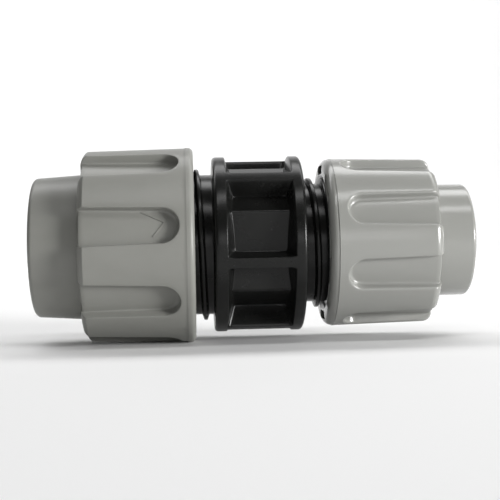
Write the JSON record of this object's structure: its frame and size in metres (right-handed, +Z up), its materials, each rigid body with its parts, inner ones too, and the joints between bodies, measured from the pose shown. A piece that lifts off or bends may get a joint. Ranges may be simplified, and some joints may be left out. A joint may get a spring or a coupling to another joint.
{
  "type": "pipe compression coupler",
  "caption": "Reducing compression coupler for plastic pipe: ribbed threaded body, two fluted screw nuts, grip rings, bushes and seals.",
  "frame": {"origin": "mid-length of the coupler, on the pipe axis", "axes": "+X along the pipe axis, from the larger end towards the smaller end; +Z up"},
  "size_m": [0.1442, 0.065, 0.065],
  "materials": {
    "body_plastic": "moulded satin",
    "large_nut_plastic": "fine moulded satin",
    "small_nut_plastic": "moulded semi-gloss",
    "grip_ring_plastic": "smooth moulded",
    "bush_plastic": "moulded satin",
    "seal_rubber": "moulded rubber"
  },
  "bodies": {
    "body": {"body": "body_plastic"},
    "large_clamp": {"large_grip_ring": "grip_ring_plastic", "large_thrust_bush": "bush_plastic", "large_seal": "seal_rubber"},
    "large_nut": {"large_nut": "large_nut_plastic"},
    "small_clamp": {"small_grip_ring": "grip_ring_plastic", "small_thrust_bush": "bush_plastic", "small_seal": "seal_rubber"},
    "small_nut": {"small_nut": "small_nut_plastic"}
  },
  "joints": [
    {"name": "large_clamp_slide", "type": "slide", "parent": "body", "child": "large_clamp", "axis": [1, 0, 0], "range_m": [-0.02251, 0.00551]},
    {"name": "large_nut_turn", "type": "hinge", "parent": "large_clamp", "child": "large_nut", "pos_m": [-0.045, 0, 0], "axis": [1, 0, 0], "range_deg": [-1620, 396]},
    {"name": "small_clamp_slide", "type": "slide", "parent": "body", "child": "small_clamp", "axis": [1, 0, 0], "range_m": [-0.0055, 0.02126]},
    {"name": "small_nut_turn", "type": "hinge", "parent": "small_clamp", "child": "small_nut", "pos_m": [0.045, 0, 0], "axis": [1, 0, 0], "range_deg": [-465, 1800]}
  ],
  "couplings": [
    {"joint": "large_clamp_slide", "follows": "large_nut_turn", "m_per_rad": 0.00079577},
    {"joint": "small_clamp_slide", "follows": "small_nut_turn", "m_per_rad": 0.00067641}
  ]
}
